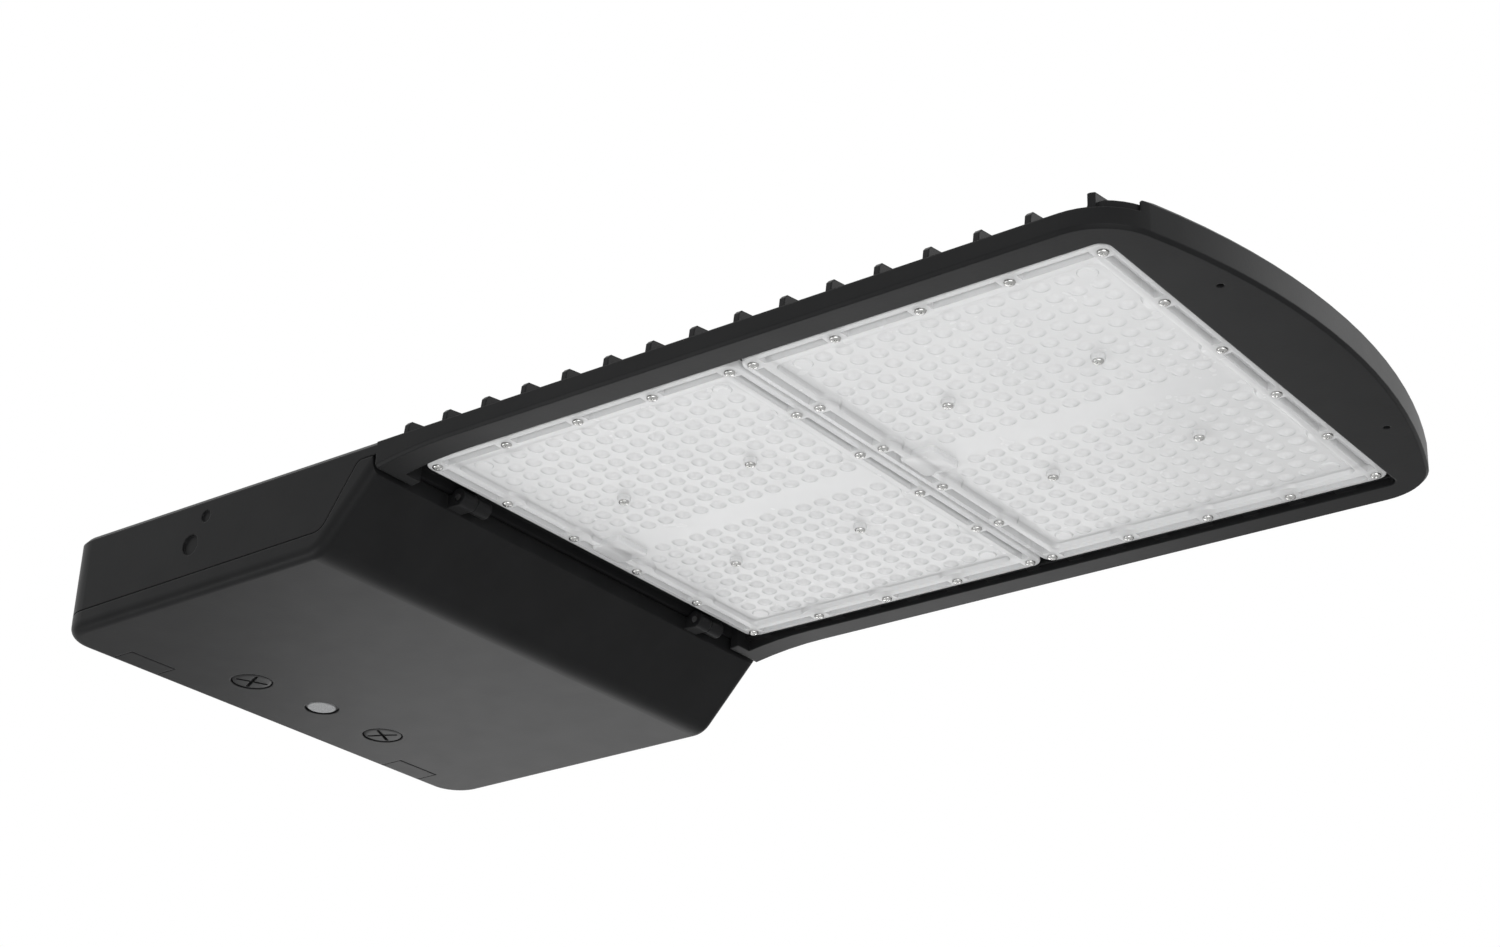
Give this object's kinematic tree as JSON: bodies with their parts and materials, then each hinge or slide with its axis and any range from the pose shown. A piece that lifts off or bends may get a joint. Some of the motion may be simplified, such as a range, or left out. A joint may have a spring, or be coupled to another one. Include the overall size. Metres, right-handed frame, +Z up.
{
  "type": "shoebox area light",
  "caption": "Slim pole-mounted area light with a finned head, flat lens modules facing down and a hinged driver door at the rear.",
  "frame": {"origin": "centre of the mounting hole pattern on the rear face", "axes": "+X from the rear mounting face to the nose, +Z up, optics facing -Z, origin held against an arm or bracket"},
  "size_m": [0.725, 0.334, 0.0764],
  "materials": {
    "dark_powder_coat": "satin dark powder coat on die-cast aluminium",
    "lens_plastic": "clear acrylic over white boards",
    "seal_rubber": "matte",
    "white_board": "white solder mask",
    "driver_can": "satin",
    "vent_membrane": "grainy",
    "black_plastic": "moulded",
    "bright_steel": "bright zinc or stainless"
  },
  "bodies": {
    "fixed": {"housing": "dark_powder_coat", "board_screws_front": "bright_steel", "board_screws_rear": "bright_steel", "driver_screws": "bright_steel", "ground_screw": "bright_steel", "hinge_pin_far": "bright_steel", "hinge_pin_near": "bright_steel", "keeper_far": "bright_steel", "keeper_near": "bright_steel", "keeper_screws": "bright_steel", "led_board_front": "white_board", "led_board_rear": "white_board", "led_driver_far": "driver_can", "led_driver_near": "driver_can", "lens_gasket_front": "seal_rubber", "lens_gasket_rear": "seal_rubber", "lens_plate_front": "lens_plastic", "lens_plate_rear": "lens_plastic", "lens_screws_front": "bright_steel", "lens_screws_rear": "bright_steel", "surge_protector": "black_plastic", "terminal_block": "black_plastic"},
    "door": {"door": "dark_powder_coat", "door_gasket": "seal_rubber", "vent_body": "black_plastic", "vent_disc": "vent_membrane", "latch_pin_near": "bright_steel", "latch_pin_far": "bright_steel"},
    "fastener_near": {"quarter_turn_near": "bright_steel", "pawl_near": "bright_steel"},
    "latch_near": {"latch_tab_near": "dark_powder_coat"},
    "fastener_far": {"quarter_turn_far": "bright_steel", "pawl_far": "bright_steel"},
    "latch_far": {"latch_tab_far": "dark_powder_coat"}
  },
  "joints": [
    {"name": "door_hinge", "type": "hinge", "parent": "fixed", "child": "door", "pos_m": [0.255, 0.005, 0.0115], "axis": [0, -1, 0], "range_deg": [0, 90]},
    {"name": "fastener_turn_near", "type": "hinge", "parent": "door", "child": "fastener_near", "pos_m": [0.044, -0.055, -0.028], "axis": [0, 0, -1], "range_deg": [0, 90]},
    {"name": "latch_tilt_near", "type": "hinge", "parent": "door", "child": "latch_near", "pos_m": [0.0196, -0.111, -0.0333], "axis": [0, -1, 0], "range_deg": [0, 35]},
    {"name": "fastener_turn_far", "type": "hinge", "parent": "door", "child": "fastener_far", "pos_m": [0.044, 0.055, -0.028], "axis": [0, 0, 1], "range_deg": [0, 90]},
    {"name": "latch_tilt_far", "type": "hinge", "parent": "door", "child": "latch_far", "pos_m": [0.0196, 0.111, -0.0333], "axis": [0, -1, 0], "range_deg": [0, 35]}
  ]
}
